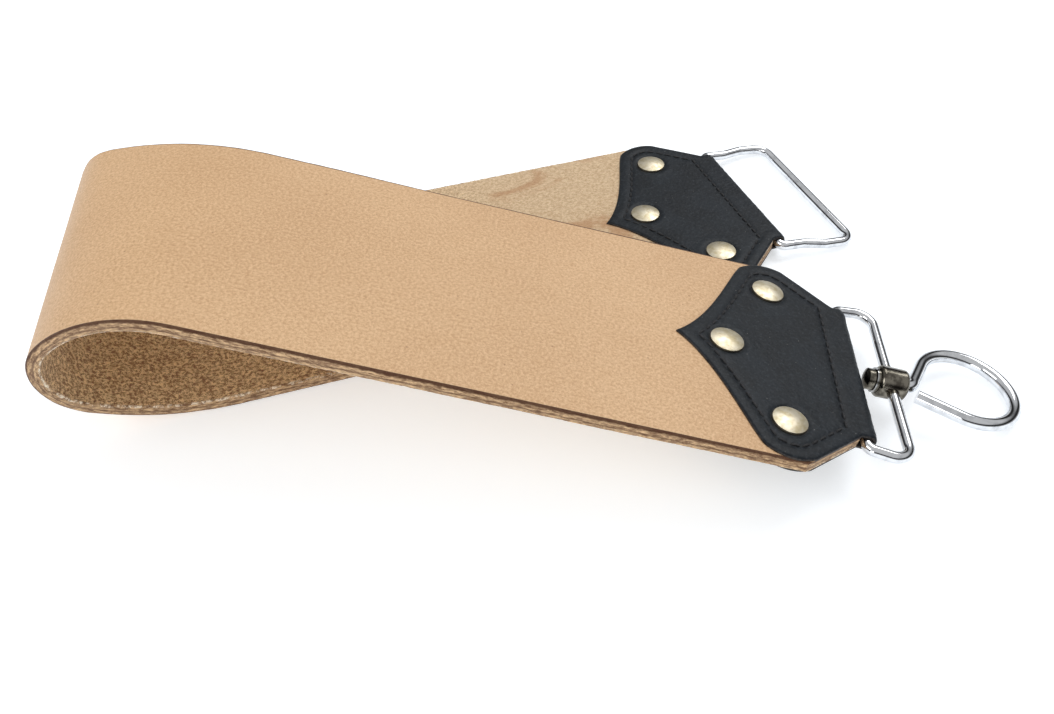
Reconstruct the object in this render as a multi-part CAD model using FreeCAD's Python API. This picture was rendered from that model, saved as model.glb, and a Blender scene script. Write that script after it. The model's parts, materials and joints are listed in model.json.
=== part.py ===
import FreeCAD, Part
import os
from math import acos, asin, atan2, cos, degrees, hypot, pi, radians, sin, sqrt, tan

Vector = FreeCAD.Vector

# Hanging leather strop, folded back on itself: one wide strip of thick leather, a leather cap folded over
# a wire frame at each end, a swivelling ring on the front frame.  Millimetres, +Z up.
# X runs along the middle of the folded V, from the fold to the two ends, and Y along the fold's bend line.
# The origin is on the resting surface, under the middle of the whole object's box.

# ---------------------------------------------------------------- driving sizes
# strap
STRAP_WIDTH = 76.2
STRAP_THICK = 3.3
LEG_ANGLE = radians(12.0)     # each leg's angle from X, seen from above
LOWER_RUN = 160.5             # flat lower leg, from the rear fold edge to the bend
UPPER_RUN = 173.0             # flat upper leg, from the bend to the front fold edge
UPPER_SLOPE = radians(12.0)   # how steeply the upper leg comes down
BEND_LOW_RADIUS = 72.0        # the bend is three arcs, measured on the grain side
BEND_LOW_TURN = radians(29.0)
BEND_TIGHT_RADIUS = 18.0
BEND_TIGHT_TURN = radians(103.0)
BEND_TOP_RADIUS = 35.0
BEND_LINKS = (1, 2, 2)        # stiff links that each arc is divided into
LINK_GAP = 0.2                # between neighbouring links
LINK_SECTIONS = 5             # cross-sections that a link's surface passes through

# end caps
CAP_THICK = 0.9
CAP_BITE = 0.15               # how far the sewn cap beds into the strap
CAP_LENGTH = 49.7             # fold edge to tip
LOBE_MARGIN = 0.5             # strap edge to the cap's widest place
LOBE_BACK = 23.5              # fold edge to the widest place
FOLD_IN = 12.6                # from the widest place in to the end of the rolled fold
FLANK_AHEAD = 6.0             # where the straight flank meets the round lobe, from the widest place
FLANK_IN = 1.1
CHEEK_BEHIND = 6.4            # where the lobe meets the S-curve, from the widest place
CHEEK_IN = 2.9
CHEEK_PULL = (3.6, 5.4)       # how far the S-curve follows the lobe, back and in
TIP_PULL = (10.2, 8.5)        # and how it leaves the tip, ahead and out
STRAP_FLANK_AHEAD = 4.0       # where the strap's own taper starts, from the widest place
FOLD_CLEARANCE = 0.1          # around the wire inside the fold
STRAP_STOP = 0.3              # strap end to the wire's space
CUT_MARGIN = 1.0              # how far a cutting shape stands past what it cuts

# stitching
THREAD_RADIUS = 0.35
STITCH_PITCH = 3.0
STITCH_LENGTH = 2.3
STITCH_INSET = 4.0
CROSS_SEAM_BACK = 8.4
SEAM_OVERLAP = 0.1            # how far the outline row may pass the cross row

# rivets
RIVET_HEAD_RADIUS = 4.4
RIVET_HEAD_EDGE = 0.5
RIVET_HEAD_HEIGHT = 1.3
RIVET_SINK = 0.25
RIVET_TUBE_RADIUS = 1.9
RIVET_POST_RADIUS = 1.2
RIVET_CLEARANCE = 0.05
RIVET_TUBE_SHORT = 0.2        # tube end to the other head
RIVET_POST_SHORT = 0.2        # post end to the bottom of the tube's hole
RIVET_HOLE_SHORT = 0.4        # bottom of the tube's hole to its own head
LOBE_RIVET_BACK = 22.8
LOBE_RIVET_IN = 12.1          # from the cap's widest place
TIP_RIVET_BACK = 36.4

# wire frames
WIRE_RADIUS = 1.5
SIDE_CLEARANCE = 0.4          # fold end to side wire
SHOULDER_OUT = 1.7            # how far the side wires flare
SHOULDER_FROM = 0.32          # the flare's start and end, as parts of the frame's length
SHOULDER_TO = 0.6
SHOULDER_BEND = 5.0
CORNER_BEND = 4.5
FRONT_FRAME_LENGTH = 11.0     # bar to bar
REAR_FRAME_LENGTH = 25.0
FRAME_SWING = radians(95.0)   # each way from the strap's plane

# swivel
HUB_RADIUS = 4.2
HUB_LENGTH = 7.6
HUB_ROUND = 1.0
RING_WIRE_RADIUS = 1.8
EYE_RADIUS = 12.9             # middle of the wire
EYE_AHEAD = 22.3              # hub centre to eye centre
EYE_ASIDE = 4.5
NECK_BEND = 3.0
CUT_END_AHEAD = 6.6           # where the returning leg is cut off
CUT_END_ASIDE = -3.1
STEM_CLEARANCE = 0.06
END_PLAY = 0.12
WASHER_RADIUS = 3.3
WASHER_THICK = 0.9
HEAD_RADIUS = 2.8
HEAD_LENGTH = 2.4
HEAD_CROWN = 0.8              # how much of the head's length is domed

# ---------------------------------------------------------------- sizes that follow
LOBE_REACH = STRAP_WIDTH / 2 - LOBE_MARGIN
FOLD_HALF = LOBE_REACH - FOLD_IN
LOBE_RIVET_SIDE = LOBE_REACH - LOBE_RIVET_IN
HALF_STACK = STRAP_THICK / 2 - CAP_BITE + CAP_THICK
RIVET_STAND = RIVET_HEAD_HEIGHT - RIVET_SINK
FOLD_INNER = WIRE_RADIUS + FOLD_CLEARANCE
FOLD_OUTER = FOLD_INNER + CAP_THICK
BAR_BACK = FOLD_OUTER
STRAP_BACK = BAR_BACK + FOLD_INNER + STRAP_STOP
SIDE_AT_FOLD = FOLD_HALF + SIDE_CLEARANCE + WIRE_RADIUS
SIDE_AT_BAR = SIDE_AT_FOLD + SHOULDER_OUT
LOWER_SPAN = LOWER_RUN * cos(LEG_ANGLE)
UPPER_SPAN = UPPER_RUN * cos(LEG_ANGLE)

# The strap rests on the bottom of its bend and on the rear cap's tip rivet, so the lower leg tilts a little.
TIP_RIVET_SPAN = LOWER_SPAN - TIP_RIVET_BACK * cos(LEG_ANGLE)
RIVET_DROP = HALF_STACK - STRAP_THICK / 2 + RIVET_STAND
LEG_TILT = (atan2(BEND_LOW_RADIUS + RIVET_DROP, TIP_RIVET_SPAN)
            - asin(BEND_LOW_RADIUS / hypot(BEND_LOW_RADIUS + RIVET_DROP, TIP_RIVET_SPAN)))

# Profile of the grain side in the XZ plane: (length, radius) runs, radius 0 for straight.
BEND_TOP_TURN = pi + LEG_TILT + UPPER_SLOPE - BEND_LOW_TURN - BEND_TIGHT_TURN
BEND_ARCS = (
    (BEND_LOW_RADIUS, BEND_LOW_TURN),
    (BEND_TIGHT_RADIUS, BEND_TIGHT_TURN),
    (BEND_TOP_RADIUS, BEND_TOP_TURN),
)
RUNS = [(LOWER_SPAN, 0.0)] + [(radius * turn, radius) for radius, turn in BEND_ARCS] + [(UPPER_SPAN, 0.0)]
PROFILE_LENGTH = sum(length for length, radius in RUNS)
START_HEIGHT = LOWER_SPAN * sin(LEG_TILT) + BEND_LOW_RADIUS * (1 - cos(LEG_TILT))


# ---------------------------------------------------------------- the strap's surface
def profile(span):
    """Place (x, z) and direction of the grain side, this far along the profile from the rear fold edge."""
    x, z, heading = 0.0, START_HEIGHT, pi + LEG_TILT
    for number, (length, radius) in enumerate(RUNS):
        last = number == len(RUNS) - 1
        step = span if last else min(span, length)
        if radius:
            turned = heading - step / radius
            x += radius * (sin(heading) - sin(turned))
            z += radius * (cos(turned) - cos(heading))
            heading = turned
        else:
            x += step * cos(heading)
            z += step * sin(heading)
        span -= step
        if span <= 0:
            break
    return x, z, heading


def grain_point(along, across):
    """Point on the grain side: along the strap's middle line from the rear fold edge, and across it."""
    x, z, heading = profile(along * cos(LEG_ANGLE) + across * sin(LEG_ANGLE))
    return Vector(x, across * cos(LEG_ANGLE) - along * sin(LEG_ANGLE), z)


def strap_axes(along):
    """Directions along the strap, across it, and out of its grain side."""
    x, z, heading = profile(along * cos(LEG_ANGLE))
    ahead = Vector(cos(heading), 0, sin(heading))
    bend_line = Vector(0, 1, 0)
    lengthwise = ahead * cos(LEG_ANGLE) - bend_line * sin(LEG_ANGLE)
    crosswise = ahead * sin(LEG_ANGLE) + bend_line * cos(LEG_ANGLE)
    return lengthwise, crosswise, ahead.cross(bend_line)


def placement(origin, x_axis, y_axis, z_axis):
    rows = []
    for place in ("x", "y", "z"):
        rows += [getattr(axis, place) for axis in (x_axis, y_axis, z_axis, origin)]
    return FreeCAD.Placement(FreeCAD.Matrix(*rows, 0, 0, 0, 1))


STRAP_LENGTH = PROFILE_LENGTH / cos(LEG_ANGLE)

# Each end has its own axes: x out of the strap towards the hardware, y across, z towards the side that faces
# up, with the origin at the fold edge, half way through the strap.
front_x, front_y, front_z = strap_axes(STRAP_LENGTH)
front_origin = grain_point(STRAP_LENGTH, 0) - front_z * (STRAP_THICK / 2)
FRONT = placement(front_origin, front_x, front_y, front_z)
along_rear, rear_y, grain_rear = strap_axes(0)
rear_x, rear_z = -along_rear, -grain_rear
rear_origin = grain_point(0, 0) + rear_z * (STRAP_THICK / 2)
REAR = placement(rear_origin, rear_x, rear_y, rear_z)


# ---------------------------------------------------------------- strap pieces
def prism(points, low, high):
    """Straight-sided block on a polygon."""
    corners = [Vector(x, y, low) for x, y in points]
    return Part.Face(Part.makePolygon(corners + corners[:1])).extrude(Vector(0, 0, high - low))


def leg(run, slant):
    """Flat leg in its end's axes, from the cut end beside the wire to the bend line."""
    half = STRAP_WIDTH / 2
    bend_at = -run + LINK_GAP / 2
    flank_back = LOBE_BACK - STRAP_FLANK_AHEAD
    points = [(-STRAP_BACK, -FOLD_HALF), (-flank_back, -half), (bend_at - slant * half, -half),
              (bend_at + slant * half, half), (-flank_back, half), (-STRAP_BACK, FOLD_HALF)]
    return prism(points, -STRAP_THICK / 2, STRAP_THICK / 2)


def bend_section(span):
    """Rectangle through the strap along one bend line."""
    x, z, heading = profile(span)
    middle = -span * tan(LEG_ANGLE)
    half = STRAP_WIDTH / 2 / cos(LEG_ANGLE)
    inward = Vector(sin(heading), 0, -cos(heading)) * STRAP_THICK
    near, far = Vector(x, middle - half, z), Vector(x, middle + half, z)
    return Part.makePolygon([near, far, far + inward, near + inward, near])


def link(start, end):
    step = (end - start) / (LINK_SECTIONS - 1)
    sections = [bend_section(start + step * number) for number in range(LINK_SECTIONS)]
    return Part.makeLoft(sections, True, False)


# Hinge lines of the bend, as lengths along the profile, and the turn of each link between them.
hinge_spans = [LOWER_SPAN]
link_turns = []
for (radius, turn), count in zip(BEND_ARCS, BEND_LINKS):
    for number in range(count):
        hinge_spans.append(hinge_spans[-1] + radius * turn / count)
        link_turns.append(turn / count)
turns = [0.0] + link_turns + [0.0]
hinge_turns = [(before + after) / 2 for before, after in zip(turns, turns[1:])]


# ---------------------------------------------------------------- cap leather
def cap_outline():
    """Outline of the cap seen square on: straight fold, two lobes, S-curves to a point."""
    tip = Vector(-CAP_LENGTH, 0, 0)
    fold_back = BAR_BACK + WIRE_RADIUS + SIDE_CLEARANCE

    def half(side):
        flank = Vector(-LOBE_BACK + FLANK_AHEAD, side * (LOBE_REACH - FLANK_IN), 0)
        crown = Vector(-LOBE_BACK, side * LOBE_REACH, 0)
        cheek = Vector(-LOBE_BACK - CHEEK_BEHIND, side * (LOBE_REACH - CHEEK_IN), 0)
        hollow = Part.BezierCurve()
        hollow.setPoles([cheek, cheek - Vector(CHEEK_PULL[0], side * CHEEK_PULL[1], 0),
                         tip + Vector(TIP_PULL[0], side * TIP_PULL[1], 0), tip])
        corner = Vector(-fold_back, side * FOLD_HALF, 0)
        return [Part.LineSegment(Vector(0, side * FOLD_HALF, 0), corner).toShape(),
                Part.LineSegment(corner, flank).toShape(),
                Part.Arc(flank, crown, cheek).toShape(),
                hollow.toShape()]

    fold = Part.LineSegment(Vector(0, -FOLD_HALF, 0), Vector(0, FOLD_HALF, 0)).toShape()
    return Part.Wire(Part.__sortEdges__([fold] + half(1) + half(-1)))


def rolled_section(inner, outer, half_inner, half_outer):
    """Side view of the cap's leather: two flat sides joined by the roll around the wire."""
    bar = -BAR_BACK
    back = -CAP_LENGTH - CUT_MARGIN
    flat = -STRAP_BACK

    def side(radius, half):
        roll = Part.Arc(Vector(bar, 0, radius), Vector(bar + radius, 0, 0), Vector(bar, 0, -radius))
        return [Part.LineSegment(Vector(back, 0, half), Vector(flat, 0, half)).toShape(),
                Part.LineSegment(Vector(flat, 0, half), Vector(bar, 0, radius)).toShape(),
                roll.toShape(),
                Part.LineSegment(Vector(bar, 0, -radius), Vector(flat, 0, -half)).toShape(),
                Part.LineSegment(Vector(flat, 0, -half), Vector(back, 0, -half)).toShape()]

    ends = [Part.LineSegment(Vector(back, 0, sign * half_inner), Vector(back, 0, sign * half_outer)).toShape()
            for sign in (1, -1)]
    edges = side(outer, half_outer) + side(inner, half_inner) + ends
    return Part.Face(Part.Wire(Part.__sortEdges__(edges)))


def rivet_places():
    return [(-TIP_RIVET_BACK, 0.0), (-LOBE_RIVET_BACK, LOBE_RIVET_SIDE), (-LOBE_RIVET_BACK, -LOBE_RIVET_SIDE)]


def rivet_bores():
    """Holes through the whole stack, with the shallow seats that the heads press into."""
    reach = HALF_STACK + RIVET_HEAD_HEIGHT
    shapes = []
    for x, y in rivet_places():
        shapes.append(Part.makeCylinder(RIVET_TUBE_RADIUS + RIVET_CLEARANCE, 2 * reach, Vector(x, y, -reach)))
        for sign in (1, -1):
            seat = Part.makeCylinder(RIVET_HEAD_RADIUS + RIVET_CLEARANCE, RIVET_HEAD_HEIGHT,
                                     Vector(x, y, sign * (HALF_STACK - RIVET_SINK)), Vector(0, 0, sign))
            shapes.append(seat)
    return Part.makeCompound(shapes)


def cap_leather():
    wide = 2 * (LOBE_REACH + CUT_MARGIN)
    section = rolled_section(FOLD_INNER, FOLD_OUTER, HALF_STACK - CAP_THICK, HALF_STACK)
    rolled = section.extrude(Vector(0, wide, 0))
    rolled.translate(Vector(0, -wide / 2, 0))
    block = Part.Face(cap_outline()).extrude(Vector(0, 0, 4 * FOLD_OUTER))
    block.translate(Vector(0, 0, -2 * FOLD_OUTER))
    return rolled.common(block).cut(rivet_bores())


def cap_bed():
    """What the two sides of a cap press out of the strap."""
    face = Part.Face(cap_outline())
    beds = []
    for sign in (1, -1):
        bed = face.extrude(Vector(0, 0, sign * CAP_THICK))
        bed.translate(Vector(0, 0, sign * (HALF_STACK - CAP_THICK)))
        beds.append(bed)
    return Part.makeCompound(beds)


# ---------------------------------------------------------------- stitching
def stitch(start, end, height, sign):
    """One half-round stitch lying on the cap's face."""
    ahead = (end - start).normalize()
    middle = (start + end) * 0.5
    rod = Part.makeCylinder(THREAD_RADIUS, STITCH_LENGTH, middle - ahead * (STITCH_LENGTH / 2), ahead)
    cover = Part.makeBox(STITCH_LENGTH * 3, STITCH_LENGTH * 3, STITCH_LENGTH)
    cover.translate(Vector(middle.x - STITCH_LENGTH * 1.5, middle.y - STITCH_LENGTH * 1.5,
                           0 if sign > 0 else -STITCH_LENGTH))
    half_round = rod.common(cover)
    half_round.translate(Vector(0, 0, sign * height))
    return half_round


def seam_points():
    """Stitch holes: one row along the outline, one straight row beside the fold."""
    inset = Part.Face(cap_outline()).makeOffset2D(-STITCH_INSET, 2, False, False, False)
    wire = inset.Wires[0]
    count = int(wire.Length / STITCH_PITCH)
    around = wire.discretize(count + 1)
    outline = [pair for pair in zip(around, around[1:])
               if max(point.x for point in pair) < SEAM_OVERLAP - CROSS_SEAM_BACK]
    near_row = -CROSS_SEAM_BACK - STITCH_PITCH
    reach = max(abs(point.y) for pair in outline for point in pair if point.x > near_row)
    steps = int(2 * reach / STITCH_PITCH)
    row = [Vector(-CROSS_SEAM_BACK, reach * (2 * step / steps - 1), 0) for step in range(steps + 1)]
    return outline + list(zip(row, row[1:]))


def cap_stitching():
    stitches = []
    for start, end in seam_points():
        for sign in (1, -1):
            stitches.append(stitch(start, end, HALF_STACK, sign))
    return Part.makeCompound(stitches)


# ---------------------------------------------------------------- rivets
def dome(radius, edge, height):
    """Low domed head standing on z = 0."""
    rim = Vector(radius, 0, edge)
    crown = Vector(0, 0, height)
    rise = height - edge
    ball = (radius * radius + rise * rise) / (2 * rise)
    lean = asin(radius / ball) / 2
    middle = Vector(ball * sin(lean), 0, height - ball * (1 - cos(lean)))
    edges = [Part.LineSegment(Vector(0, 0, 0), Vector(radius, 0, 0)).toShape(),
             Part.LineSegment(Vector(radius, 0, 0), rim).toShape(),
             Part.Arc(rim, middle, crown).toShape(),
             Part.LineSegment(crown, Vector(0, 0, 0)).toShape()]
    return Part.Face(Part.Wire(edges)).revolve(Vector(0, 0, 0), Vector(0, 0, 1), 360)


def rivet_cap():
    """Domed cap with the tube that passes through the leather."""
    grip = 2 * (HALF_STACK - RIVET_SINK)
    head = dome(RIVET_HEAD_RADIUS, RIVET_HEAD_EDGE, RIVET_HEAD_HEIGHT)
    tube_end = -grip + RIVET_TUBE_SHORT
    tube = Part.makeCylinder(RIVET_TUBE_RADIUS, -tube_end, Vector(0, 0, tube_end))
    hole = Part.makeCylinder(RIVET_POST_RADIUS + RIVET_CLEARANCE, grip - RIVET_HOLE_SHORT, Vector(0, 0, -grip))
    shape = head.fuse(tube).cut(hole).removeSplitter()
    shape.translate(Vector(0, 0, grip / 2))
    return shape


def rivet_post():
    """Domed base with the post that is hammered into the tube."""
    grip = 2 * (HALF_STACK - RIVET_SINK)
    head = dome(RIVET_HEAD_RADIUS, RIVET_HEAD_EDGE, RIVET_HEAD_HEIGHT)
    head.rotate(Vector(0, 0, 0), Vector(1, 0, 0), 180)
    post = Part.makeCylinder(RIVET_POST_RADIUS, grip - RIVET_HOLE_SHORT - RIVET_POST_SHORT)
    shape = head.fuse(post).removeSplitter()
    shape.translate(Vector(0, 0, -grip / 2))
    return shape


# ---------------------------------------------------------------- bent wire
def bent_path(corners, bends, closed):
    """Straight runs through the corners, each corner rounded by its bend radius."""
    count = len(corners)
    edges = []
    joints = []
    for number in range(count):
        here = corners[number]
        if not closed and number in (0, count - 1):
            joints.append((here, here))
            continue
        before = (corners[number - 1] - here).normalize()
        after = (corners[(number + 1) % count] - here).normalize()
        half_angle = acos(max(-1.0, min(1.0, before.dot(after)))) / 2
        back = bends[number] / tan(half_angle)
        start, end = here + before * back, here + after * back
        middle = here + (before + after).normalize() * (bends[number] / sin(half_angle) - bends[number])
        edges.append((number, Part.Arc(start, middle, end).toShape()))
        joints.append((start, end))
    links = count if closed else count - 1
    for number in range(links):
        start, end = joints[number][1], joints[(number + 1) % count][0]
        if start.distanceToPoint(end) > 1e-6:
            edges.append((number + 0.5, Part.LineSegment(start, end).toShape()))
    edges.sort(key=lambda item: item[0])
    return Part.Wire([edge for number, edge in edges])


def wire_along(path, radius):
    """Round wire swept along a path of lines and arcs."""
    first = path.OrderedEdges[0]
    start = first.valueAt(first.FirstParameter)
    heading = first.tangentAt(first.FirstParameter)
    ring = Part.Wire(Part.Circle(start, heading, radius).toShape())
    return path.makePipeShell([ring], True, True)


def frame_wire(length):
    """Closed wire frame: bar in the fold at x = 0, side wires with a slight shoulder, outer bar."""
    bend = SIDE_AT_FOLD - FOLD_HALF
    points = [(0, SIDE_AT_FOLD, bend), (length, SIDE_AT_BAR, CORNER_BEND)]
    if length > 4 * CORNER_BEND:
        points[1:1] = [(SHOULDER_FROM * length, SIDE_AT_FOLD, SHOULDER_BEND),
                       (SHOULDER_TO * length, SIDE_AT_BAR, SHOULDER_BEND)]
    points += [(x, -y, bend_radius) for x, y, bend_radius in reversed(points)]
    corners = [Vector(x, y, 0) for x, y, bend_radius in points]
    # the path starts half way along the outer bar, so no bend falls on the seam
    seam = Vector(length, 0, 0)
    half = len(points) // 2
    ordered = [seam] + corners[half:] + corners[:half] + [seam]
    bends = [0] + [item[2] for item in points[half:] + points[:half]] + [0]
    return wire_along(bent_path(ordered, bends, False), WIRE_RADIUS)


def front_frame():
    """Wire frame with the hub that the ring's stem turns in."""
    hub = Part.makeCylinder(HUB_RADIUS, HUB_LENGTH, Vector(FRONT_FRAME_LENGTH - HUB_LENGTH / 2, 0, 0),
                            Vector(1, 0, 0))
    hub = hub.makeFillet(HUB_ROUND, [edge for edge in hub.Edges if edge.Closed and len(edge.Vertexes) == 1])
    bore = Part.makeCylinder(RING_WIRE_RADIUS + STEM_CLEARANCE, 2 * HUB_LENGTH,
                             Vector(FRONT_FRAME_LENGTH - HUB_LENGTH, 0, 0), Vector(1, 0, 0))
    return frame_wire(FRONT_FRAME_LENGTH).fuse(hub).cut(bore).removeSplitter()


def tangent_point(centre, radius, point, side):
    """Where a line from a point touches a circle; side +1 or -1 picks the touch."""
    away = point - centre
    turn = atan2(away.y, away.x) + side * acos(radius / away.Length)
    return centre + Vector(cos(turn), sin(turn), 0) * radius


def swivel_ring():
    """One bent wire: peened head, stem through the hub, eye, and the straight leg back to its cut end."""
    face = HUB_LENGTH / 2 + END_PLAY
    eye = Vector(EYE_AHEAD, EYE_ASIDE, 0)
    neck = Vector(face + RING_WIRE_RADIUS, 0, 0)
    cut_end = Vector(CUT_END_AHEAD, CUT_END_ASIDE, 0)
    first = tangent_point(eye, EYE_RADIUS, neck, -1)
    last = tangent_point(eye, EYE_RADIUS, cut_end, 1)
    far = eye + (eye - (first + last) * 0.5).normalize() * EYE_RADIUS
    head_face = -face - WASHER_THICK - END_PLAY
    tail = Vector(head_face, 0, 0)
    lead = bent_path([tail, neck, first], [0, NECK_BEND, 0], False)
    loop = Part.Arc(first, far, last).toShape()
    back = Part.LineSegment(last, cut_end).toShape()
    wire = wire_along(Part.Wire(lead.OrderedEdges + [loop, back]), RING_WIRE_RADIUS)
    head = dome(HEAD_RADIUS, HEAD_LENGTH - HEAD_CROWN, HEAD_LENGTH)
    head.rotate(Vector(0, 0, 0), Vector(0, 1, 0), -90)
    head.translate(Vector(head_face, 0, 0))
    return wire.fuse(head).removeSplitter()


def swivel_washer():
    face = HUB_LENGTH / 2 + END_PLAY / 2
    disc = Part.makeCylinder(WASHER_RADIUS, WASHER_THICK, Vector(-face - WASHER_THICK, 0, 0), Vector(1, 0, 0))
    hole = Part.makeCylinder(RING_WIRE_RADIUS + STEM_CLEARANCE, 3 * WASHER_THICK,
                             Vector(-face - 2 * WASHER_THICK, 0, 0), Vector(1, 0, 0))
    return disc.cut(hole)


# ---------------------------------------------------------------- how the hardware lies
def swung(origin, ahead, across, up, rise):
    """Frame axes at its bar, swung so that its x axis has this much rise; and the angle swung."""
    reach = hypot(ahead.z, up.z)
    angle = atan2(up.z, ahead.z) - acos(rise / reach)
    x_axis = ahead * cos(angle) + up * sin(angle)
    z_axis = up * cos(angle) - ahead * sin(angle)
    return placement(origin, x_axis, across, z_axis), angle


def front_rise():
    """Rise of the front frame that lets the ring's far side touch the surface."""
    reach = FRONT_FRAME_LENGTH + EYE_AHEAD
    lean = front_y.z
    height = front_bar.z + EYE_ASIDE * lean - RING_WIRE_RADIUS
    spread = reach * reach - EYE_RADIUS * EYE_RADIUS
    root = (reach * height) ** 2 - spread * (height * height - (EYE_RADIUS * lean) ** 2)
    return (sqrt(root) - reach * height) / spread


front_bar = front_origin - front_x * BAR_BACK
rear_bar = rear_origin - rear_x * BAR_BACK
FRONT_FRAME, front_angle = swung(front_bar, front_x, front_y, front_z, front_rise())
rear_rise = (WIRE_RADIUS + SIDE_AT_BAR * abs(rear_y.z) - rear_bar.z) / REAR_FRAME_LENGTH
REAR_FRAME, rear_angle = swung(rear_bar, rear_x, rear_y, rear_z, rear_rise)
hub_centre = FRONT_FRAME.multVec(Vector(FRONT_FRAME_LENGTH, 0, 0))
stem_axis = FRONT_FRAME.Rotation.multVec(Vector(1, 0, 0))
SWIVEL = FreeCAD.Placement(hub_centre, FRONT_FRAME.Rotation)

# ---------------------------------------------------------------- assembly
model = {}


def add(name, shape, where=None):
    placed = shape.copy()
    if where is not None:
        placed.Placement = where.multiply(placed.Placement)
    model[name] = placed


slant = tan(LEG_ANGLE)
add("strap_lower_leg", leg(LOWER_RUN, slant).cut(cap_bed()).cut(rivet_bores()), REAR)
for number, (start, end) in enumerate(zip(hinge_spans, hinge_spans[1:]), 1):
    add("strap_bend_%d" % number, link(start + LINK_GAP / 2, end - LINK_GAP / 2))
add("strap_upper_leg", leg(UPPER_RUN, -slant).cut(cap_bed()).cut(rivet_bores()), FRONT)

for side, where in (("front", FRONT), ("rear", REAR)):
    add(side + "_cap_leather", cap_leather(), where)
    add(side + "_cap_stitching", cap_stitching(), where)
    for place, (x, y) in zip(("tip", "far", "near"), rivet_places()):
        seat = where.multiply(FreeCAD.Placement(Vector(x, y, 0), FreeCAD.Rotation()))
        add("%s_%s_rivet_cap" % (side, place), rivet_cap(), seat)
        add("%s_%s_rivet_post" % (side, place), rivet_post(), seat)

add("front_frame", front_frame(), FRONT_FRAME)
add("swivel_ring", swivel_ring(), SWIVEL)
add("swivel_washer", swivel_washer(), SWIVEL)
add("rear_frame", frame_wire(REAR_FRAME_LENGTH), REAR_FRAME)

box = Part.makeCompound(list(model.values())).optimalBoundingBox(False)
ORIGIN = Vector(box.Center.x, box.Center.y, box.ZMin)
os.makedirs("parts", exist_ok=True)
for name, shape in model.items():
    shape.translate(-ORIGIN)
    shape.exportStep("parts/%s.step" % name)

print("nodes", len(model), "strap length %.1f" % STRAP_LENGTH, "tilt %.2f" % degrees(LEG_TILT))
print("box", [round(value, 2) for value in (box.XLength, box.YLength, box.ZLength)])
print("hinge turns", [round(degrees(turn), 3) for turn in hinge_turns])
for name, shape in model.items():
    if not shape.isValid() or shape.Volume <= 0:
        print("bad", name, shape.isValid(), shape.Volume)
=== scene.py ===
import json
from math import asin, atan2, cos, hypot, pi, radians, sin, sqrt, tan

import bmesh
import bpy
import numpy as np
from mathutils import Matrix, Vector, noise
from mathutils.geometry import delaunay_2d_cdt


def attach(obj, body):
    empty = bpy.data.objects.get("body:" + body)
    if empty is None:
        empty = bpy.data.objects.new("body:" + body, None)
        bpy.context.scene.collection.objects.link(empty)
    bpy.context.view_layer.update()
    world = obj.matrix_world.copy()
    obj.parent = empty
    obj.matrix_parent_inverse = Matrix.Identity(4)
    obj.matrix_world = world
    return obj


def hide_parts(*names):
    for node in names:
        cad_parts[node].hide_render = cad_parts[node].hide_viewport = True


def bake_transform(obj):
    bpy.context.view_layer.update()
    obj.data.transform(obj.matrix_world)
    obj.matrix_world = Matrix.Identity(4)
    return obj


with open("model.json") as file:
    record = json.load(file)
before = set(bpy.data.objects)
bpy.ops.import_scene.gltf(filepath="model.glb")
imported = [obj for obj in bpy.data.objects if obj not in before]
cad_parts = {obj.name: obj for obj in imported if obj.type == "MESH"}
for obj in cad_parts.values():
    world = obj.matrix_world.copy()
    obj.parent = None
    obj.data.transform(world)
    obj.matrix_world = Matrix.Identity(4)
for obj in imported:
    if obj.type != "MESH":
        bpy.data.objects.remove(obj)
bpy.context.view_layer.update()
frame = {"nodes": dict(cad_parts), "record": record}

# Sizes below are millimetres, turned into metres when a mesh is made.
MM = 0.001

# ---------------------------------------------------------------- sizes, as the CAD has them
STRAP_WIDTH = 76.2
STRAP_THICK = 3.3
LEG_ANGLE = radians(12.0)
LOWER_RUN = 160.5
UPPER_RUN = 173.0
UPPER_SLOPE = radians(12.0)
BEND_LOW_RADIUS = 72.0
BEND_LOW_TURN = radians(29.0)
BEND_TIGHT_RADIUS = 18.0
BEND_TIGHT_TURN = radians(103.0)
BEND_TOP_RADIUS = 35.0
BEND_LINKS = (1, 2, 2)
CAP_THICK = 0.9
CAP_BITE = 0.15
CAP_LENGTH = 49.7
FOLD_HALF = 25.0
LOBE_REACH = 37.6
LOBE_BACK = 23.5
FOLD_OUTER = 2.5
STRAP_BACK = 4.4
STRAP_FLANK_AHEAD = 4.0    # the strap's cut corner ends this far ahead of the cap's lobe
FLANK_AHEAD, FLANK_IN = 6.0, 1.1
CHEEK_BEHIND, CHEEK_IN = 6.4, 2.9
CHEEK_PULL = (-3.6, -5.4)
TIP_PULL = (10.2, 8.5)
SKIN_MARGIN = 9.0          # the rulings of the bend go on this far past its outer hinges
CUT_MARGIN = 8.0           # and the skin is cut here
CAP_BORDER_STEP = 0.62
CAP_GRID_STEP = 0.72
CAP_ROW_HEIGHT = 0.866
CAP_INSETS = (0.12, 0.3, 0.6)
CAP_GRID_CLEAR = 0.95
STITCH_RADIUS = 0.36
STITCH_TAPER, STITCH_END = 0.86, 0.37
STITCH_SLANT = 0.07        # a lock stitch lies a little askew
STITCH_OVERRUN = 0.12
STITCH_SINK, STITCH_DIP, STITCH_BED = 0.06, 0.26, 0.02
STITCH_SQUASH = 0.85
TIP_RIVET_BACK = 36.4
RIVET_STAND = 1.05
RIVETS = ((-TIP_RIVET_BACK, 0.0), (-22.8, 25.5), (-22.8, -25.5))
HALF = STRAP_WIDTH / 2
HALF_STACK = STRAP_THICK / 2 - CAP_BITE + CAP_THICK
COS_A, SIN_A, TAN_A = cos(LEG_ANGLE), sin(LEG_ANGLE), tan(LEG_ANGLE)
LOWER_SPAN = LOWER_RUN * COS_A
UPPER_SPAN = UPPER_RUN * COS_A

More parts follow.
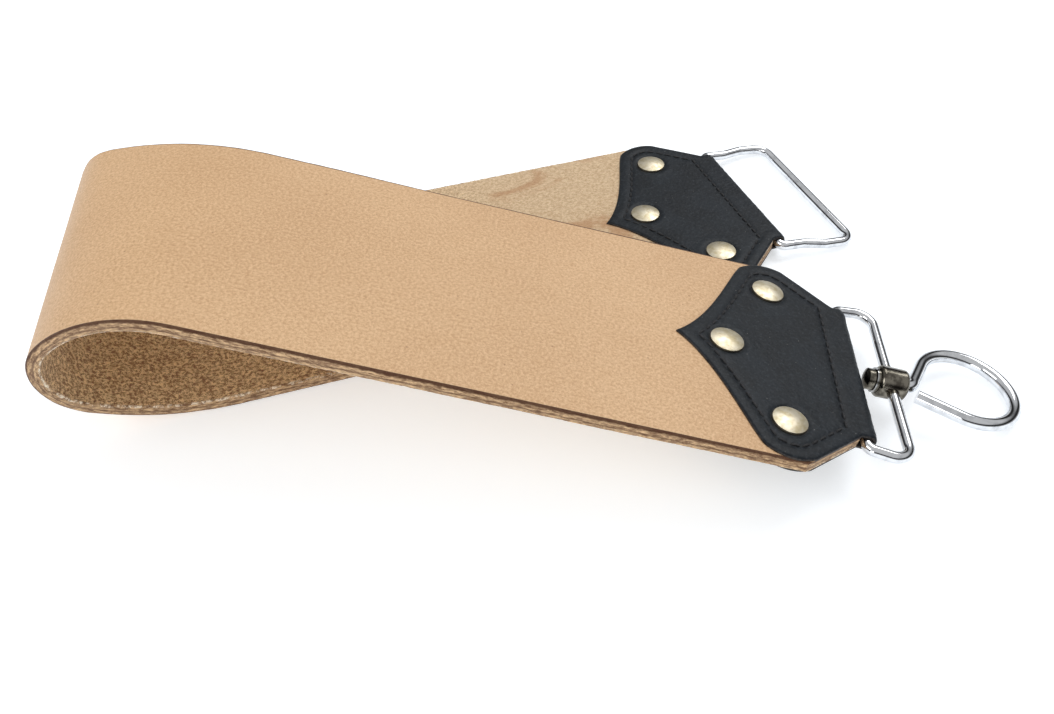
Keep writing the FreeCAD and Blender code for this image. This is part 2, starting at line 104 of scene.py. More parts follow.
# The lower leg rests on its tip rivet and on the start of the bend, so it tilts a little.
RIVET_SPAN = LOWER_SPAN - TIP_RIVET_BACK * COS_A
RIVET_DROP = HALF_STACK - STRAP_THICK / 2 + RIVET_STAND
LEG_TILT = (atan2(BEND_LOW_RADIUS + RIVET_DROP, RIVET_SPAN)
            - asin(BEND_LOW_RADIUS / hypot(BEND_LOW_RADIUS + RIVET_DROP, RIVET_SPAN)))
BEND_ARCS = ((BEND_LOW_RADIUS, BEND_LOW_TURN), (BEND_TIGHT_RADIUS, BEND_TIGHT_TURN),
             (BEND_TOP_RADIUS, pi + UPPER_SLOPE - BEND_LOW_TURN - BEND_TIGHT_TURN + LEG_TILT))
RUNS = [(LOWER_SPAN, 0.0)] + [(r * t, r) for r, t in BEND_ARCS] + [(UPPER_SPAN, 0.0)]
PROFILE_LENGTH = sum(length for length, radius in RUNS)
STRAP_LENGTH = PROFILE_LENGTH / COS_A
START_HEIGHT = LOWER_SPAN * sin(LEG_TILT) + BEND_LOW_RADIUS * (1 - cos(LEG_TILT))

# The far edge of the bend has another shape than the near edge. The skin eases from one to the other
# across its width, in full on the upper half of the bend and by FAR_SHARE on the lower half.
FAR_LOWER_SPAN = 141.25
FAR_LOW_RADIUS, FAR_LOW_TURN = 90.7, radians(40.0)
FAR_TIGHT_RADIUS, FAR_TIGHT_TURN = 11.5, radians(121.52)
FAR_TOP_RADIUS = 95.4
FAR_UPPER_SPAN = 150.4
FAR_SHARE = 0.25
FAR_FULL_FROM, FAR_FULL_OVER = 222.0, 18.0
FAR_IN_FROM, FAR_IN_OVER = 110.0, 30.0
FAR_OUT_BACK, FAR_OUT_OVER = 100.0, 40.0
FAR_ARCS = ((FAR_LOW_RADIUS, FAR_LOW_TURN), (FAR_TIGHT_RADIUS, FAR_TIGHT_TURN),
            (FAR_TOP_RADIUS, pi + UPPER_SLOPE - FAR_LOW_TURN - FAR_TIGHT_TURN + LEG_TILT))
FAR_RUNS = [(FAR_LOWER_SPAN, 0.0)] + [(r * t, r) for r, t in FAR_ARCS] + [(FAR_UPPER_SPAN, 0.0)]


def profile(span, runs=RUNS):
    """Place (x, z) and heading of the grain side, this far along the profile from the rear end."""
    x, z, heading = 0.0, START_HEIGHT, pi + LEG_TILT
    for number, (length, radius) in enumerate(runs):
        step = span if number == len(runs) - 1 else min(span, length)
        if radius:
            turned = heading - step / radius
            x += radius * (sin(heading) - sin(turned))
            z += radius * (cos(turned) - cos(heading))
            heading = turned
        else:
            x += step * cos(heading)
            z += step * sin(heading)
        span -= step
        if span <= 0:
            break
    return x, z, heading


def grain_point(along, across):
    """Point of the grain side, millimetres, this far along and across the flat strap."""
    x, z, heading = profile(along * COS_A + across * SIN_A)
    return Vector((x, across * COS_A - along * SIN_A, z))


def strap_axes(along):
    """The strap's own axes there: along it, across it and out of its grain side."""
    x, z, heading = profile(along * COS_A)
    ahead = Vector((cos(heading), 0, sin(heading)))
    side = Vector((0, 1, 0))
    return ahead * COS_A - side * SIN_A, ahead * SIN_A + side * COS_A, ahead.cross(side)


# The first hinge's place, as the frame has it, says where the row frame's origin is.
JOINTS = {joint["name"]: joint for joint in frame["record"]["behaviour"]["joints"]}
HINGE_X, HINGE_Z = profile(LOWER_SPAN)[:2]
ORIGIN = (Vector((HINGE_X, -LOWER_SPAN * TAN_A, HINGE_Z))
          - Vector(JOINTS["strap_unfold_1"]["pos_m"]) / MM)


def to_row(x_axis, y_axis, z_axis, origin):
    """Matrix from millimetres in an end's own axes to metres in the row frame."""
    m = Matrix((x_axis, y_axis, z_axis)).transposed().to_4x4()
    m.translation = origin - ORIGIN
    return Matrix.Scale(MM, 4) @ m


def end_matrix(along, sign):
    """An end's own axes: out past the fold, across, and up, from the middle of the leather."""
    ahead, side, out = strap_axes(along)
    return to_row(ahead * sign, side, out * sign, grain_point(along, 0) - out * (STRAP_THICK / 2))


FRONT = end_matrix(STRAP_LENGTH, 1)
REAR = end_matrix(0, -1)

# ---------------------------------------------------------------- camera
FRAME_WIDE = 1054       # picture width that FOCAL is counted in
FOCAL = 1032.69
SENSOR = 36.0
PITCH = radians(42.95)
DISTANCE = 286.39
ROLL = radians(-0.91)
TURN = radians(8.17)
AIM = Vector((-3.3, -17.08, 0.0))


def make_camera():
    ahead = Matrix.Rotation(-TURN, 3, "Z") @ Vector((0, cos(PITCH), -sin(PITCH)))
    right = Matrix.Rotation(-TURN, 3, "Z") @ Vector((1, 0, 0))
    down = ahead.cross(right)
    across = right * cos(ROLL) + down * sin(ROLL)
    below = down * cos(ROLL) - right * sin(ROLL)
    data = bpy.data.cameras.new("camera")
    data.sensor_width = SENSOR
    data.lens = FOCAL / FRAME_WIDE * data.sensor_width
    data.clip_start, data.clip_end = 0.01, 50.0
    camera = bpy.data.objects.new("camera", data)
    camera.matrix_world = Matrix((across, -below, -ahead)).transposed().to_4x4()
    camera.location = (AIM - ahead * DISTANCE) * MM
    bpy.context.scene.collection.objects.link(camera)
    bpy.context.scene.camera = camera


make_camera()


# ---------------------------------------------------------------- material helpers
class Graph:
    """A material and short ways to add nodes to it."""

    def __init__(self, name, **shader):
        self.material = bpy.data.materials.new(name)
        self.material.use_nodes = True
        self.tree = self.material.node_tree
        self.shader = self.tree.nodes["Principled BSDF"]
        for key, value in shader.items():
            self.shader.inputs[key.replace("_", " ")].default_value = value

    def node(self, kind, links=(), **settings):
        made = self.tree.nodes.new("ShaderNode" + kind)
        for key, value in settings.items():
            setattr(made, key, value)
        for socket, value in dict(links).items():
            self.put(made.inputs[socket], value)
        return made

    def put(self, socket, value):
        if isinstance(value, bpy.types.NodeSocket):
            self.tree.links.new(value, socket)
        else:
            socket.default_value = value

    def flat(self):
        """Place on the leather as it lay flat: along, across, and depth in it, millimetres."""
        return self.node("Attribute", attribute_name="flat").outputs["Vector"]

    def solid(self):
        """Place in the row frame, millimetres."""
        place = self.node("TexCoord").outputs["Object"]
        return self.math3("MULTIPLY", place, (1000, 1000, 1000))

    def math(self, operation, *values, clamp=False):
        made = self.node("Math", operation=operation, use_clamp=clamp)
        for socket, value in zip(made.inputs, values):
            self.put(socket, value)
        return made.outputs[0]

    def math3(self, operation, *values):
        made = self.node("VectorMath", operation=operation)
        for socket, value in zip(made.inputs, values):
            self.put(socket, value)
        return made.outputs[0]

    def part(self, vector):
        return self.node("SeparateXYZ", {0: vector}).outputs

    def noise(self, vector, scale, detail=3.0, rough=0.55, warp=0.0):
        return self.node("TexNoise", {"Vector": vector, "Scale": scale, "Detail": detail,
                                      "Roughness": rough, "Distortion": warp}).outputs[0]

    def cells(self, vector, scale, feature="F1"):
        made = self.node("TexVoronoi", {"Vector": vector, "Scale": scale}, feature=feature)
        return made.outputs["Distance"]

    def ramp(self, value, low, high):
        """0 at low, 1 at high, smooth between."""
        return self.node("MapRange", {0: value, 1: low, 2: high, 3: 0.0, 4: 1.0},
                         interpolation_type="SMOOTHSTEP").outputs[0]

    def mix(self, factor, first, second, blend="MIX"):
        made = self.node("Mix", data_type="RGBA", blend_type=blend)
        colours = [s for s in made.inputs if s.type == "RGBA"]
        self.put(made.inputs[0], factor)
        self.put(colours[0], first)
        self.put(colours[1], second)
        return [s for s in made.outputs if s.type == "RGBA"][0]

    def bump(self, height, distance, strength=1.0, normal=None):
        links = {"Height": height, "Distance": distance * MM, "Strength": strength}
        if normal is not None:
            links["Normal"] = normal
        return self.node("Bump", links).outputs[0]

    def out(self, **sockets):
        for key, value in sockets.items():
            self.put(self.shader.inputs[key.replace("_", " ")], value)
        return self.material


def rgb(red, green, blue):
    """Linear colour from the 0 to 255 values a screen shows."""
    def linear(value):
        value /= 255
        return value / 12.92 if value <= 0.04045 else ((value + 0.055) / 1.055) ** 2.4
    return (linear(red), linear(green), linear(blue), 1.0)


# ---------------------------------------------------------------- leather of the strap
def grain_material():
    g = Graph("strap_grain", Specular_IOR_Level=0.42, Sheen_Weight=0.06, Sheen_Roughness=0.4)
    flat = g.flat()
    along, across, depth = g.part(flat)
    blotch = g.noise(flat, 0.022, 3, 0.5)
    mottle = g.noise(flat, 0.2, 5, 0.7)
    fine = g.noise(flat, 1.3, 5, 0.85)
    colour = g.mix(g.ramp(blotch, 0.3, 0.7), rgb(200, 162, 121), rgb(208, 171, 130))
    colour = g.mix(g.math("MULTIPLY", g.ramp(mottle, 0.45, 0.75), 0.3), colour, rgb(192, 153, 112))
    colour = g.mix(g.math("MULTIPLY", g.ramp(fine, 0.47, 0.62), 0.6), colour, rgb(174, 132, 90))
    colour = g.mix(g.math("MULTIPLY", g.ramp(fine, 0.52, 0.38), 0.5), colour, rgb(232, 198, 156))
    speck = g.cells(g.math3("ADD", flat, g.math3("MULTIPLY", fine, (0.3, 0.3, 0.3))), 0.42)
    speck = g.math("MULTIPLY", g.math("SUBTRACT", 1.0, g.ramp(speck, 0.05, 0.13)),
                   g.ramp(g.noise(flat, 0.35, 2), 0.5, 0.62))
    colour = g.mix(g.math("MULTIPLY", speck, 0.6), colour, rgb(132, 90, 56))
    rim = g.ramp(g.math("ADD", g.math("ABSOLUTE", across), g.math("MULTIPLY", fine, 0.9)), 37.75, 38.35)
    colour = g.mix(g.math("MULTIPLY", rim, 0.75), colour, rgb(138, 86, 52))
    pores = g.cells(flat, 2.6)
    height = g.math("ADD", g.math("MULTIPLY", fine, 0.5), g.math("MULTIPLY", g.ramp(pores, 0.0, 0.35), 0.4))
    normal = g.bump(height, 0.16, 0.7)
    normal = g.bump(g.math("MULTIPLY", speck, -1.0), 0.08, 0.5, normal)
    rough = g.math("ADD", 0.44, g.math("MULTIPLY", mottle, 0.22))
    return g.out(Base_Color=colour, Roughness=rough, Normal=normal)


def flesh_material():
    g = Graph("strap_flesh", Specular_IOR_Level=0.2, Sheen_Weight=0.25, Sheen_Roughness=0.6)
    flat = g.flat()
    along, across, depth = g.part(flat)
    fibre = g.noise(g.math3("MULTIPLY", flat, (0.85, 1.0, 1.0)), 1.15, 6, 0.9)
    clump = g.noise(flat, 0.35, 5, 0.7)
    stain = g.noise(g.math3("MULTIPLY", flat, (0.6, 1.0, 1.0)), 0.055, 5, 0.6, 1.0)
    colour = g.mix(g.ramp(fibre, 0.44, 0.56), rgb(138, 92, 54), rgb(255, 224, 170))
    colour = g.mix(g.math("MULTIPLY", g.ramp(clump, 0.45, 0.7), 0.3), colour, rgb(176, 126, 78))
    pale = g.math("SUBTRACT", 1.0, g.ramp(along, 70.0, 135.0))
    pale_colour = g.mix(g.ramp(fibre, 0.35, 0.65), rgb(184, 148, 106), rgb(232, 206, 168))
    pale_colour = g.mix(g.math("MULTIPLY", g.ramp(stain, 0.5, 0.66), 0.6), pale_colour, rgb(176, 122, 72))
    colour = g.mix(pale, colour, pale_colour)
    rim = g.ramp(g.math("ADD", g.math("ABSOLUTE", across), g.math("MULTIPLY", fibre, 1.2)), 37.3, 38.8)
    frayed = g.ramp(g.noise(flat, 0.8, 5, 0.8), 0.47, 0.56)
    colour = g.mix(g.math("MULTIPLY", rim, frayed), colour, rgb(246, 232, 206))
    height = g.math("ADD", g.math("MULTIPLY", fibre, 0.7), g.math("MULTIPLY", clump, 0.5))
    return g.out(Base_Color=colour, Roughness=0.93, Normal=g.bump(height, 0.7, 0.9))


def edge_material():
    g = Graph("strap_edge", Specular_IOR_Level=0.3, Sheen_Weight=0.1, Sheen_Roughness=0.5)
    flat = g.flat()
    along, across, depth = g.part(flat)
    strand = g.noise(g.math3("MULTIPLY", flat, (0.4, 0.4, 1.6)), 1.1, 6, 0.8, 0.4)
    clump = g.noise(flat, 0.5, 4, 0.6)
    wavy = g.math("ADD", depth, g.math("MULTIPLY", g.math("SUBTRACT", clump, 0.5), 0.9))
    colour = g.mix(g.ramp(strand, 0.38, 0.64), rgb(112, 80, 54), rgb(226, 190, 146))
    colour = g.mix(g.math("MULTIPLY", g.ramp(clump, 0.45, 0.7), 0.5), colour, rgb(128, 98, 76))
    dark = g.math("SUBTRACT", 1.0, g.ramp(wavy, 0.3, 0.75))
    colour = g.mix(g.math("MULTIPLY", dark, 0.92), colour, rgb(74, 42, 24))
    from_middle = g.math("ABSOLUTE", g.math("SUBTRACT", wavy, 1.75))
    streak = g.math("SUBTRACT", 1.0, g.ramp(from_middle, 0.1, 0.3))
    colour = g.mix(g.math("MULTIPLY", streak, 0.6), colour, rgb(92, 62, 42))
    frayed = g.ramp(g.noise(flat, 0.8, 5, 0.8), 0.47, 0.56)
    pale = g.math("MULTIPLY", g.ramp(wavy, 2.75, 3.05), frayed)
    colour = g.mix(pale, colour, rgb(246, 234, 212))
    return g.out(Base_Color=colour, Roughness=0.82, Normal=g.bump(strand, 0.45, 0.8))


GRAIN = grain_material()
EDGE = edge_material()
FLESH = flesh_material()


# ---------------------------------------------------------------- strap mesh
def ripple(u, v, scale, seed):
    """Smooth unevenness, -1 to 1, with bumps about scale millimetres wide."""
    return noise.noise(Vector((u / scale, v / scale, seed)))


def section():
    """Ring of (across, depth, material) round the strap: grain side first, from -across to +across."""
    flat_to = HALF - 0.9
    count = 50
    row = [flat_to * (2 * k / count - 1) for k in range(count + 1)]
    corner = [(HALF - 0.62, 0.03), (HALF - 0.36, 0.12), (HALF - 0.16, 0.3), (HALF - 0.04, 0.58),
              (HALF, 0.95), (HALF + 0.02, 1.3), (HALF, 1.65), (HALF + 0.02, 2.0), (HALF - 0.02, 2.35),
              (HALF - 0.07, 2.7), (HALF - 0.2, 3.0), (HALF - 0.42, 3.2), (HALF - 0.68, 3.28)]
    ring = [(v, 0.0, 0) for v in row]
    ring += [(v, d, 1) for v, d in corner]
    ring += [(v, STRAP_THICK, 2) for v in reversed(row)]
    ring += [(-v, d, 1) for v, d in reversed(corner)]
    return ring, count + 1, len(corner)


RING, ROW, CORNER = section()


def end_back(v):
    """How far back from the fold edge the strap's end is cut."""
    slope = (abs(v) - FOLD_HALF) / (HALF - FOLD_HALF)
    flank = LOBE_BACK - STRAP_FLANK_AHEAD
    return STRAP_BACK + max(0.0, min(1.0, slope)) * (flank - STRAP_BACK)


def strap_columns(first, last):
    """Columns as lists of (along) for each ring point: ends cut to shape, rulings through the bend."""
    rear_steps, front_steps = 110, 118
    columns, spans = [], []

    def ruling(span, v):
        return (span - v * SIN_A) / COS_A

    for k in range(rear_steps):
        t = k / rear_steps
        columns.append([(1 - t) * end_back(v) + t * ruling(first, v) for v, d, m in RING])
        spans.append(None)
    steps = int((last - first) / 1.05)
    for k in range(steps + 1):
        span = first + (last - first) * k / steps
        columns.append([ruling(span, v) for v, d, m in RING])
        spans.append(span)
    for k in range(1, front_steps + 1):
        t = k / front_steps
        columns.append([(1 - t) * ruling(last, v) + t * (STRAP_LENGTH - end_back(v)) for v, d, m in RING])
        spans.append(None)
    return columns, spans


def smooth(t):
    t = min(1.0, max(0.0, t))
    return t * t * (3 - 2 * t)


def far_part(span):
    """How much of the far shape the far edge takes here."""
    ends = smooth((span - FAR_IN_FROM) / FAR_IN_OVER) * smooth(
        (PROFILE_LENGTH - FAR_OUT_BACK - span) / FAR_OUT_OVER)
    return ends * (FAR_SHARE + (1 - FAR_SHARE) * smooth((span - FAR_FULL_FROM) / FAR_FULL_OVER))


def strap_point(u, v, depth):
    """Point of the strap in the row frame, metres."""
    span = u * COS_A + v * SIN_A
    near, far = profile(span), profile(span, FAR_RUNS)
    part = min(1.0, max(0.0, (v + HALF) / STRAP_WIDTH)) * far_part(span)
    x, z, heading = (a + (b - a) * part for a, b in zip(near, far))
    y = v * COS_A - u * SIN_A
    inward = Vector((sin(heading), 0, -cos(heading)))
    return (Vector((x, y, z)) + inward * depth - ORIGIN) * MM


def uneven(u, v, depth, kind):
    """Small moves (across, depth) that break up the cut edges and the two faces."""
    side = 1 if v > 0 else -1
    if kind == 1:
        wave = 0.16 * ripple(u, side * 40, 22, 1.5) + 0.07 * ripple(u, depth * 4 + side * 40, 2.6, 3.5)
        fibre = 0.05 * ripple(u, depth * 9, 1.1, 7.5)
        return side * (wave + fibre - 0.12), 0.0
    if kind == 2:
        return 0.0, -0.09 + 0.05 * ripple(u, v, 2.2, 5.5) + 0.04 * ripple(u, v, 9, 2.5)
    calm = 0.05 * ripple(u, v, 16, 0.5)
    return 0.0, 0.05 + calm


def skin(hinges):
    """The whole strap as arrays: points, flat places, normals; and the span of each column."""
    columns, spans = strap_columns(hinges[0] - SKIN_MARGIN, hinges[-1] + SKIN_MARGIN)
    points = np.zeros((len(columns), len(RING), 3))
    flat = np.zeros_like(points)
    for i, column in enumerate(columns):
        for j, ((v, depth, kind), u) in enumerate(zip(RING, column)):
            dv, dd = uneven(u, v, depth, kind)
            points[i, j] = strap_point(u, v + dv, depth + dd)
            flat[i, j] = (u, v, depth)
    ahead = np.gradient(points, axis=0)
    around = np.roll(points, -1, axis=1) - np.roll(points, 1, axis=1)
    normals = np.cross(around, ahead)
    normals /= np.linalg.norm(normals, axis=2, keepdims=True) + 1e-12
    centre = points.mean(axis=1, keepdims=True)
    outward = ((points - centre) * normals).sum()
    return points, flat, normals * (1 if outward > 0 else -1), spans


def end_wall(first):
    """Faces that close one end of the strap."""
    quads = []
    total = len(RING)
    for k in range(ROW - 1):
        opposite = ROW + CORNER + (ROW - 1 - k)
        quads.append((first + k, first + k + 1, first + opposite - 1, first + opposite))
    right = [first + k for k in range(ROW - 1, ROW + CORNER + 1)]
    left = [first + k for k in range(2 * ROW + CORNER - 1, total)] + [first]
    return quads + [tuple(right), tuple(left)]


def mesh_object(name, points, faces, flat, material_index, materials):
    """A linked mesh with its flat places and materials, shaded smooth."""
    data = bpy.data.meshes.new(name)
    data.from_pydata([tuple(p) for p in points], [], faces)
    for material in materials:
        data.materials.append(material)
    if material_index is not None:
        data.polygons.foreach_set("material_index", material_index)
    data.polygons.foreach_set("use_smooth", [True] * len(data.polygons))
    if flat is not None:
        place = data.attributes.new("flat", "FLOAT_VECTOR", "POINT")
        place.data.foreach_set("vector", np.asarray(flat, np.float32).ravel())
    data.update()
    made = bpy.data.objects.new(name, data)
    bpy.context.scene.collection.objects.link(made)
    return made


def strap_piece(name, data, low, high):
    """One stretch of the skin between two columns, closed at both ends."""
    points, flat, normals, spans = data
    total = len(RING)
    faces, index = [], []
    count = high - low + 1
    for i in range(count - 1):
        for j in range(total):
            k = (j + 1) % total
            a, b = i * total, (i + 1) * total
            faces.append((a + j, a + k, b + k, b + j))
            kinds = {RING[j][2], RING[k][2]}
            index.append(1 if 1 in kinds else RING[j][2])
    body = len(faces)
    last = (count - 1) * total
    walls = [tuple(reversed(f)) for f in end_wall(0)] + end_wall(last)
    faces += walls
    index += [1] * len(walls)
    block = slice(low, high + 1)
    a, b, c, d = (Vector(points[block].reshape(-1, 3)[k]) for k in faces[0])
    if (b - a).cross(d - a).dot(Vector(normals[low, 0])) < 0:
        faces = [tuple(reversed(f)) for f in faces]
    made = mesh_object(name, points[block].reshape(-1, 3), faces, flat[block].reshape(-1, 3), index,
                       (GRAIN, EDGE, FLESH))
    mesh = made.data
    point_normals = normals[block].reshape(-1, 3)
    corner = np.zeros((len(mesh.loops), 3))
    for polygon in mesh.polygons:
        for loop in polygon.loop_indices:
            if polygon.index < body:
                corner[loop] = point_normals[mesh.loops[loop].vertex_index]
            else:
                corner[loop] = polygon.normal
    mesh.normals_split_custom_set([tuple(c) for c in corner])
    return made


def hinge_lines():
    """Span of each of the strap's hinges."""
    spans, at = [LOWER_SPAN], LOWER_SPAN
    for (radius, turn), count in zip(BEND_ARCS, BEND_LINKS):
        for number in range(count):
            at += radius * turn / count
            spans.append(at)
    return spans


def nearest_column(spans, span):
    return min((abs(s - span), i) for i, s in enumerate(spans) if s is not None)[1]


def make_strap():
    hinges = hinge_lines()
    data = skin(hinges)
    points, flat, normals, spans = data
    cuts = [nearest_column(spans, hinges[0] - CUT_MARGIN)]
    cuts += [nearest_column(spans, (a + b) / 2) for a, b in zip(hinges, hinges[1:])]
    cuts += [nearest_column(spans, hinges[-1] + CUT_MARGIN)]
    links = ["lower_strap"] + ["bend_%d" % k for k in range(1, len(hinges))] + ["upper_strap"]
    lower = strap_piece("strap_skin_lower", data, 0, cuts[0])
    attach(lower, "lower_strap")
    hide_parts("strap_lower_leg")
    for k, (low, high) in enumerate(zip(cuts, cuts[1:])):
        piece = strap_piece("strap_skin_bend_%d" % (k + 1), data, low, high)
        ends = [points[c].reshape(-1, 3) for c in (low, high)]
        ahead = ends[1].mean(axis=0) - ends[0].mean(axis=0)
        ahead[1] = 0
        ahead /= np.linalg.norm(ahead)
        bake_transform(piece)
        if k < len(links) - 2:
            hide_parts("strap_bend_%d" % (k + 1))
    upper = strap_piece("strap_skin_upper", data, cuts[-1], len(points) - 1)
    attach(upper, "upper_strap")
    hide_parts("strap_upper_leg")


make_strap()


# ---------------------------------------------------------------- cap leather
def cap_material():
    g = Graph("cap_black", Specular_IOR_Level=0.19)
    flat = g.flat()
    along, across, depth = g.part(flat)
    fine = g.noise(flat, 0.9, 5, 0.8)
    broad = g.noise(flat, 0.09, 3, 0.5)
    cells = g.cells(g.math3("ADD", flat, g.math3("MULTIPLY", fine, (0.5, 0.5, 0.5))), 1.15, "SMOOTH_F1")
    colour = g.mix(g.ramp(broad, 0.35, 0.7), rgb(14, 19, 24), rgb(24, 30, 36))
    colour = g.mix(g.math("MULTIPLY", g.ramp(fine, 0.5, 0.64), 0.4), colour, rgb(58, 64, 70))
    dust = g.math("MULTIPLY", g.math("SUBTRACT", 1.0, g.ramp(g.cells(flat, 0.55), 0.04, 0.1)),
                  g.ramp(g.noise(flat, 0.2, 2), 0.48, 0.6))
    colour = g.mix(g.math("MULTIPLY", dust, 0.5), colour, rgb(150, 148, 142))
    worn = g.ramp(depth, -0.2, -0.5)
    colour = g.mix(g.math("MULTIPLY", worn, g.ramp(fine, 0.35, 0.6)), colour, rgb(70, 64, 60))
    height = g.math("ADD", g.math("MULTIPLY", cells, 0.7), g.math("MULTIPLY", fine, 0.5))
    rough = g.math("ADD", 0.34, g.math("MULTIPLY", g.math("ADD", fine, broad), 0.14))
    return g.out(Base_Color=colour, Roughness=rough, Normal=g.bump(height, 0.16, 0.75))


def thread_material():
    g = Graph("thread_black", Specular_IOR_Level=0.35)
    place = g.solid()
    twist = g.noise(g.math3("MULTIPLY", place, (1.0, 1.0, 1.0)), 4.0, 3, 0.5)
    colour = g.mix(g.ramp(twist, 0.3, 0.7), rgb(14, 14, 16), rgb(38, 38, 41))
    return g.out(Base_Color=colour, Roughness=0.6, Normal=g.bump(twist, 0.08, 0.7))


def nickel_material():
    g = Graph("rivet_nickel_finish", Metallic=1.0)
    place = g.solid()
    wear = g.noise(place, 0.5, 4, 0.6)
    scratch = g.noise(g.math3("MULTIPLY", place, (0.5, 4.0, 1.0)), 1.6, 3, 0.6)
    colour = g.mix(g.ramp(wear, 0.35, 0.7), rgb(204, 196, 176), rgb(178, 166, 136))
    rough = g.math("ADD", 0.36, g.math("MULTIPLY", wear, 0.2))
    return g.out(Base_Color=colour, Roughness=rough, Normal=g.bump(scratch, 0.03, 0.35))


def chrome_material(name, dark_at=None, reach=0.0):
    """Bright plate; round one place, the hub, the plate is rougher and its colour is painted dark, painted
    shade standing in for the dark reflections there.
    """
    g = Graph(name, Metallic=1.0)
    place = g.solid()
    smudge = g.noise(place, 0.35, 4, 0.6)
    pits = g.noise(place, 3.0, 2, 0.5)
    colour = g.mix(g.ramp(smudge, 0.4, 0.75), rgb(226, 228, 231), rgb(196, 198, 202))
    rough = g.math("ADD", 0.05, g.math("MULTIPLY", g.ramp(smudge, 0.4, 0.8), 0.12))
    if dark_at is not None:
        away = g.node("VectorMath", {0: place, 1: dark_at}, operation="DISTANCE").outputs["Value"]
        dull_and_painted_dark = g.math("SUBTRACT", 1.0, g.ramp(g.math("ADD", away, smudge), reach, reach + 0.8))
        # painted shade: round dark_at the base colour is darkened to stand in for dark reflections; the
        # added roughness is the plate's own
        colour = g.mix(dull_and_painted_dark, colour, g.mix(g.ramp(smudge, 0.4, 0.6), rgb(84, 80, 72), rgb(132, 127, 116)))
        rough = g.math("ADD", rough, g.math("MULTIPLY", dull_and_painted_dark, 0.12))
    return g.out(Base_Color=colour, Roughness=rough, Normal=g.bump(pits, 0.01, 0.3))


CAP = cap_material()
THREAD = thread_material()
NICKEL = nickel_material()
CHROME = chrome_material("chrome_finish")
# The hub and the swivel ring's head get painted shade: their chrome is darkened there to stand in for the
# dark reflections they show.
HUB_AT = tuple(value / MM for value in JOINTS["ring_swivel"]["pos_m"])
HEAD_AT = tuple(at - 6.6 * way for at, way in zip(HUB_AT, JOINTS["ring_swivel"]["axis"]))
HUB_CHROME = chrome_material("hub_chrome_painted_dark", HUB_AT, 5.8)
RING_CHROME = chrome_material("ring_chrome_painted_dark_head", HEAD_AT, 4.6)


def bezier(points, steps):
    """Points after the first along a cubic curve."""
    a, b, c, d = points
    made = []
    for k in range(1, steps + 1):
        t = k / steps
        made.append(a * (1 - t) ** 3 + b * 3 * t * (1 - t) ** 2 + c * 3 * t * t * (1 - t) + d * t ** 3)
    return made


def arc_through(a, b, c, steps):
    """Points after a, through b, to c on their circle."""
    ax, ay, bx, by, cx, cy = a[0], a[1], b[0], b[1], c[0], c[1]
    d = 2 * (ax * (by - cy) + bx * (cy - ay) + cx * (ay - by))
    aa, bb, cc = ax * ax + ay * ay, bx * bx + by * by, cx * cx + cy * cy
    ux = (aa * (by - cy) + bb * (cy - ay) + cc * (ay - by)) / d
    uy = (aa * (cx - bx) + bb * (ax - cx) + cc * (bx - ax)) / d
    radius = hypot(ax - ux, ay - uy)
    start, end = atan2(ay - uy, ax - ux), atan2(cy - uy, cx - ux)
    turn = (end - start + pi) % (2 * pi) - pi
    angles = [start + turn * k / steps for k in range(1, steps + 1)]
    return [Vector((ux + radius * cos(at), uy + radius * sin(at))) for at in angles]


def half_outline():
    """Cap outline in its end's axes from the fold to the tip, across positive."""
    corner = Vector((-STRAP_BACK, FOLD_HALF))
    flank = Vector((-LOBE_BACK + FLANK_AHEAD, LOBE_REACH - FLANK_IN))
    crown = Vector((-LOBE_BACK, LOBE_REACH))
    cheek = Vector((-LOBE_BACK - CHEEK_BEHIND, LOBE_REACH - CHEEK_IN))
    tip = Vector((-CAP_LENGTH, 0.0))
    line = [corner + (flank - corner) * k / 20 for k in range(21)]
    line += arc_through(flank, crown, cheek, 16)
    return line + bezier([cheek, cheek + Vector(CHEEK_PULL), tip + Vector(TIP_PULL), tip], 46)


ROLL_ARC = FOLD_OUTER * pi / 2
SLOPE_RUN = hypot(STRAP_BACK - FOLD_OUTER, FOLD_OUTER - HALF_STACK)


def fold_place(q):
    """Side view (x, z) and outward normal of the cap's outer face, q along it from mid-roll."""
    sign = 1 if q >= 0 else -1
    reach = abs(q)
    if reach < ROLL_ARC:
        turn = reach / FOLD_OUTER
        x, z, nx, nz = -FOLD_OUTER * (1 - cos(turn)), FOLD_OUTER * sin(turn), cos(turn), sin(turn)
    elif reach < ROLL_ARC + SLOPE_RUN:
        t = (reach - ROLL_ARC) / SLOPE_RUN
        x = -FOLD_OUTER - t * (STRAP_BACK - FOLD_OUTER)
        z = FOLD_OUTER - t * (FOLD_OUTER - HALF_STACK)
        nx, nz = 0.0, 1.0
    else:
        x, z, nx, nz = -STRAP_BACK - (reach - ROLL_ARC - SLOPE_RUN), HALF_STACK, 0.0, 1.0
    return x, sign * z, nx, sign * nz


def islands(data):
    """Loose parts of a mesh as arrays of points."""
    parent = list(range(len(data.vertices)))
    keys = {}
    for vertex in data.vertices:
        key = tuple(round(value * 1e6) for value in vertex.co)
        if key in keys:
            parent[vertex.index] = keys[key]
        else:
            keys[key] = vertex.index

    def find(k):
        while parent[k] != k:
            parent[k] = parent[parent[k]]
            k = parent[k]
        return k

    for edge in data.edges:
        a, b = find(edge.vertices[0]), find(edge.vertices[1])
        if a != b:
            parent[max(a, b)] = min(a, b)
    groups = {}
    for vertex in data.vertices:
        groups.setdefault(find(vertex.index), []).append(tuple(vertex.co))
    return [np.array(groups[key]) for key in sorted(groups)]


